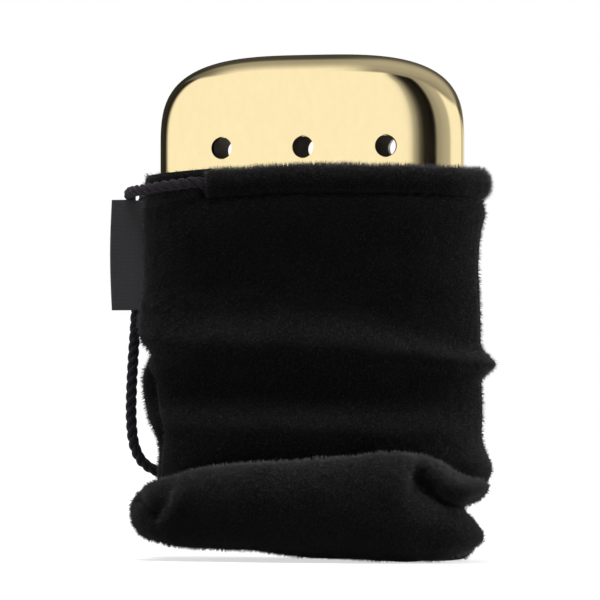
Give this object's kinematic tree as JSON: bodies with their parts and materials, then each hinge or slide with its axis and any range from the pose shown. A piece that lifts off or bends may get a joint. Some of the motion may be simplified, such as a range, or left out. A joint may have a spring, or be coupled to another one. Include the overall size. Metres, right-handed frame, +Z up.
{
  "type": "catalytic hand warmer",
  "caption": "Flat metal catalytic hand warmer with a lift-off vented cap, standing in a soft drawstring pouch with its slack folded forwards.",
  "frame": {"origin": "on the surface that the pouch stands on, under the middle of the metal case", "axes": "+Z up along the case, -Y towards the front with the folded end of the pouch, +X to the right seen from the front"},
  "size_m": [0.0863, 0.0368, 0.1056],
  "materials": {
    "gold_metal": "mirror polished pale gold plating",
    "nickel": "satin nickel plating",
    "cotton": "loose cotton wadding",
    "catalyst_fibre": "matted glass fibre",
    "pile_fabric": "short dense black pile",
    "cord": "three-strand twisted black cord",
    "woven_tape": "dark grey woven tape, bare"
  },
  "bodies": {
    "pouch": {"pouch_front": "pile_fabric", "pouch_back": "pile_fabric", "pouch_toe": "pile_fabric", "hem_front": "pile_fabric", "hem_back": "pile_fabric", "drawcord_in_hem": "cord", "drawcord_front": "cord", "drawcord_back": "cord", "drawcord_knot": "cord", "label": "woven_tape"},
    "warmer": {"tank_shell": "gold_metal", "tank_deck": "nickel", "filler_neck": "nickel", "wadding": "cotton"},
    "cap": {"cap": "gold_metal"},
    "burner": {"burner_skirt": "nickel", "burner_gauze": "nickel", "catalyst_mat": "catalyst_fibre", "burner_cage": "nickel"}
  },
  "joints": [
    {"name": "warmer_lift", "type": "slide", "parent": "pouch", "child": "warmer", "axis": [0, 0, 1], "range_m": [0, 0.085]},
    {"name": "cap_lift", "type": "slide", "parent": "warmer", "child": "cap", "axis": [0, 0, 1], "range_m": [0, 0.045]},
    {"name": "burner_lift", "type": "slide", "parent": "warmer", "child": "burner", "axis": [0, 0, 1], "range_m": [0, 0.012]}
  ]
}
